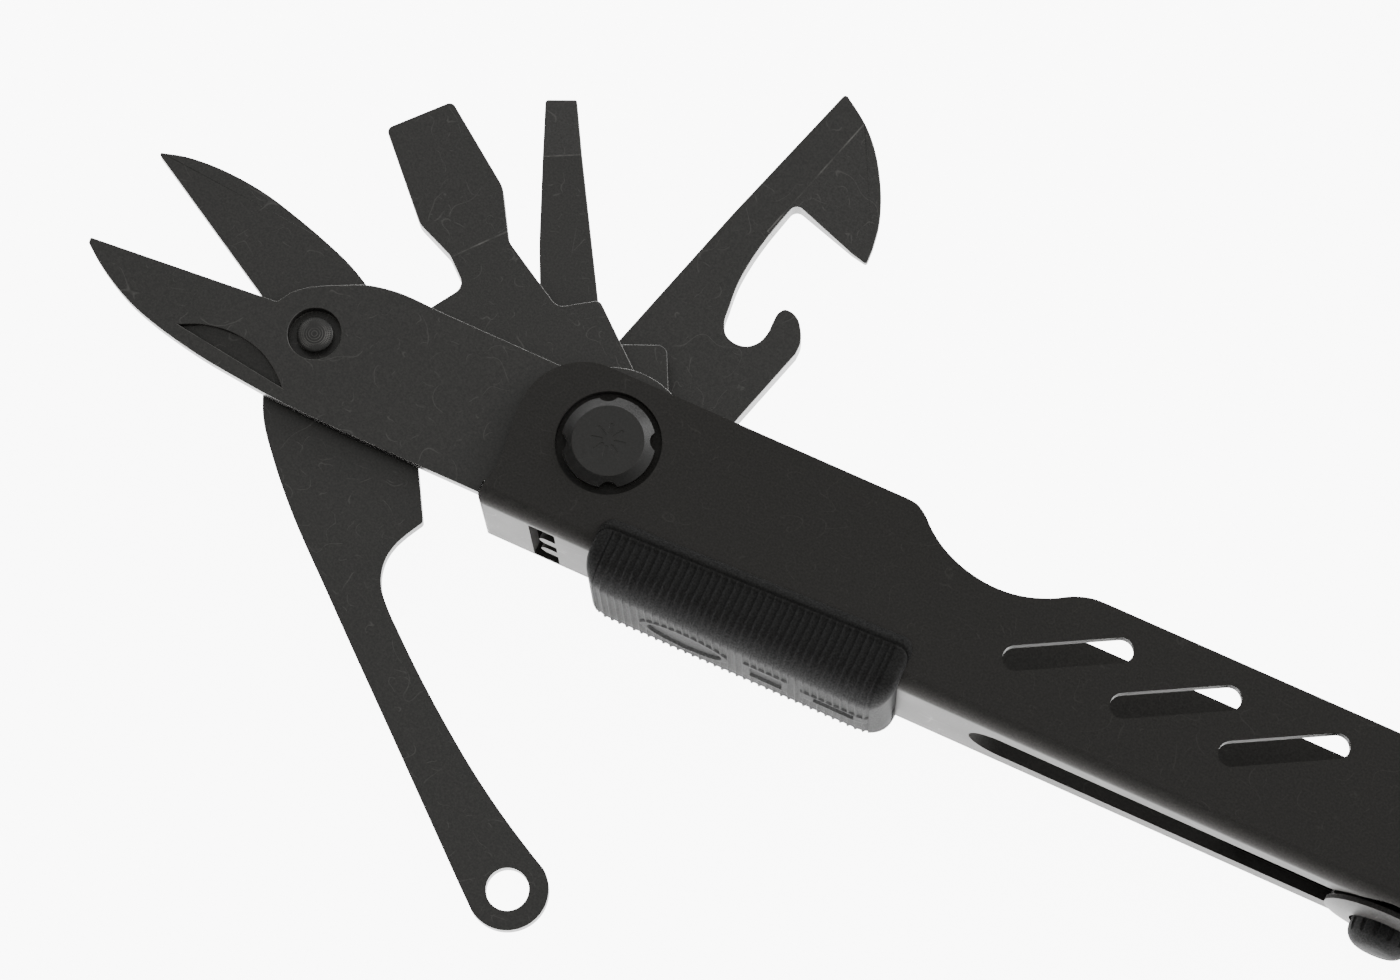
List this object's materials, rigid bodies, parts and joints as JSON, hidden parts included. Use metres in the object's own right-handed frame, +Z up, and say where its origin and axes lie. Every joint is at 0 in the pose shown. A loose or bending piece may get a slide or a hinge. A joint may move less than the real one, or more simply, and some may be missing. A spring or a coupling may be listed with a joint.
{
  "type": "folding multi tool",
  "caption": "Folding pliers with a slide-out head, shown with scissors, screwdrivers and a can and bottle opener fanned out of one ribbed-lock handle",
  "frame": {"origin": "middle of the base of the whole tool as it lies open on a table", "axes": "+X along the first handle from its tool pivot to the pliers, +Y to the open side of that handle's channel, +Z up from the table"},
  "size_m": [0.2218, 0.1968, 0.0196],
  "materials": {
    "black_sheet": "black oxide over satin sheet steel, lightly worn at the edges",
    "black_tool": "black oxide over ground tool steel, ground faces a little greyer",
    "black_head": "black oxide over turned steel",
    "black_jaw": "black oxide over forged steel",
    "black_moulded": "moulded black plastic with fine grip ribs",
    "spring_steel": "bare spring wire"
  },
  "bodies": {
    "handle_a": {"handle_a": "black_sheet", "pivot_bolt_a": "black_head", "pivot_nut_a": "black_head", "pivot_spacer_a": "black_tool"},
    "scissors": {"scissors_fixed_blade": "black_tool", "scissors_rivet": "black_head"},
    "scissors_lever": {"scissors_lever_blade": "black_tool"},
    "large_driver": {"large_flat_driver": "black_tool"},
    "small_driver": {"small_flat_driver": "black_tool"},
    "can_opener": {"can_opener": "black_tool"},
    "lock_a": {"slide_lock_a": "black_moulded", "lock_tongue_a": "black_tool"},
    "jaw_a": {"jaw_a": "black_jaw", "carriage_a": "black_jaw", "jaw_pivot_pin": "black_head", "latch_spring_a": "spring_steel"},
    "button_a": {"latch_button_a": "black_moulded"},
    "jaw_b": {"jaw_b": "black_jaw", "carriage_b": "black_jaw", "latch_spring_b": "spring_steel"},
    "button_b": {"latch_button_b": "black_moulded"},
    "handle_b": {"handle_b": "black_sheet", "pivot_bolt_b": "black_head", "pivot_nut_b": "black_head", "pivot_spacer_b": "black_tool"},
    "lock_b": {"slide_lock_b": "black_moulded", "lock_tongue_b": "black_tool"},
    "knife": {"knife_blade": "black_tool"},
    "file": {"file": "black_tool"},
    "cross_driver": {"cross_head_driver": "black_tool"},
    "medium_driver": {"medium_flat_driver": "black_tool"},
    "lanyard": {"lanyard_ring": "black_tool"}
  },
  "joints": [
    {"name": "scissors_fold", "type": "hinge", "parent": "handle_a", "child": "scissors", "pos_m": [-0.04462, -0.04227, 0.0098], "axis": [0, 0, 1], "range_deg": [-177, 0]},
    {"name": "scissors_squeeze", "type": "hinge", "parent": "scissors", "child": "scissors_lever", "pos_m": [-0.08171, -0.04417, 0.0098], "axis": [0, 0, 1], "range_deg": [-136, 24]},
    {"name": "large_driver_fold", "type": "hinge", "parent": "handle_a", "child": "large_driver", "pos_m": [-0.04462, -0.04227, 0.0098], "axis": [0, 0, 1], "range_deg": [-140, 40]},
    {"name": "small_driver_fold", "type": "hinge", "parent": "handle_a", "child": "small_driver", "pos_m": [-0.04462, -0.04227, 0.0098], "axis": [0, 0, 1], "range_deg": [-117, 63]},
    {"name": "can_opener_fold", "type": "hinge", "parent": "handle_a", "child": "can_opener", "pos_m": [-0.04462, -0.04227, 0.0098], "axis": [0, 0, 1], "range_deg": [-74, 106]},
    {"name": "lock_a_slide", "type": "slide", "parent": "handle_a", "child": "lock_a", "axis": [-1, 0, 0], "range_m": [0, 0.005]},
    {"name": "head_a_slide", "type": "slide", "parent": "handle_a", "child": "jaw_a", "axis": [1, 0, 0], "range_m": [-0.006, 0]},
    {"name": "button_a_press", "type": "slide", "parent": "jaw_a", "child": "button_a", "axis": [0, 1, 0], "range_m": [0, 0.0015], "stiffness_N_per_m": 200, "deforming": ["latch_spring_a"]},
    {"name": "pliers", "type": "hinge", "parent": "jaw_a", "child": "jaw_b", "pos_m": [0.07738, -0.03367, 0.0098], "axis": [0, 0, -1], "range_deg": [-46, 0]},
    {"name": "button_b_press", "type": "slide", "parent": "jaw_b", "child": "button_b", "axis": [-0.9397, -0.342, 0], "range_m": [0, 0.0015], "stiffness_N_per_m": 200, "deforming": ["latch_spring_b"]},
    {"name": "head_b_slide", "type": "slide", "parent": "jaw_b", "child": "handle_b", "axis": [-0.342, 0.9397, 0], "range_m": [-0.006, 0]},
    {"name": "lock_b_slide", "type": "slide", "parent": "handle_b", "child": "lock_b", "axis": [-0.342, 0.9397, 0], "range_m": [0, 0.005]},
    {"name": "knife_fold", "type": "hinge", "parent": "handle_b", "child": "knife", "pos_m": [0.04374, 0.08392, 0.0098], "axis": [0, 0, -1], "range_deg": [0, 180]},
    {"name": "file_fold", "type": "hinge", "parent": "handle_b", "child": "file", "pos_m": [0.04374, 0.08392, 0.0098], "axis": [0, 0, -1], "range_deg": [0, 180]},
    {"name": "cross_driver_fold", "type": "hinge", "parent": "handle_b", "child": "cross_driver", "pos_m": [0.04374, 0.08392, 0.0098], "axis": [0, 0, -1], "range_deg": [0, 180]},
    {"name": "medium_driver_fold", "type": "hinge", "parent": "handle_b", "child": "medium_driver", "pos_m": [0.04374, 0.08392, 0.0098], "axis": [0, 0, -1], "range_deg": [0, 180]},
    {"name": "lanyard_fold", "type": "hinge", "parent": "handle_b", "child": "lanyard", "pos_m": [0.04374, 0.08392, 0.0098], "axis": [0, 0, -1], "range_deg": [0, 180]}
  ]
}
